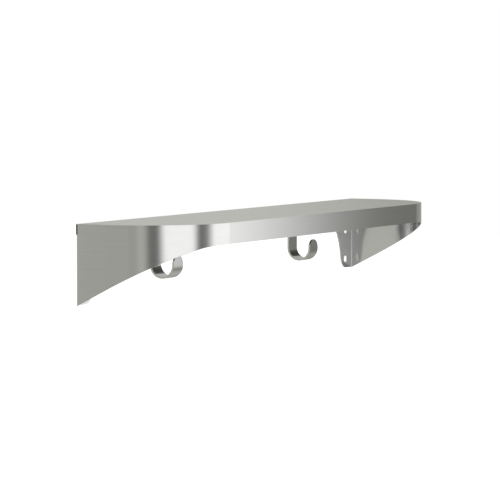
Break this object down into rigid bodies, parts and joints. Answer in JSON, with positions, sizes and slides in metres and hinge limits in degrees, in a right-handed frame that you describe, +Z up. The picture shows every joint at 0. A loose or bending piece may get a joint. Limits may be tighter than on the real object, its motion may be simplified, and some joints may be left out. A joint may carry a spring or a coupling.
{
  "type": "wall shelf with hooks",
  "caption": "Stainless wall shelf with a rounded front apron, tall slanted cheeks folded into screw flanges, and J hooks under its rear rail.",
  "frame": {"origin": "on the wall plane, at the middle of the four screw holes", "axes": "+X along the wall to the right, +Y into the wall, +Z up; the shelf's front faces -Y"},
  "size_m": [0.6, 0.121, 0.08],
  "materials": {
    "satin_sheet": "satin brushed stainless sheet, grain along the strip",
    "satin_strip": "satin stainless flat strip with deburred edges",
    "weld_metal": "pickled weld beads"
  },
  "bodies": {
    "root": {"apron_band": "satin_sheet", "top_plate": "satin_sheet", "rear_rail": "satin_strip", "left_hook": "satin_strip", "right_hook": "satin_strip", "stitch_welds": "weld_metal"}
  },
  "joints": []
}
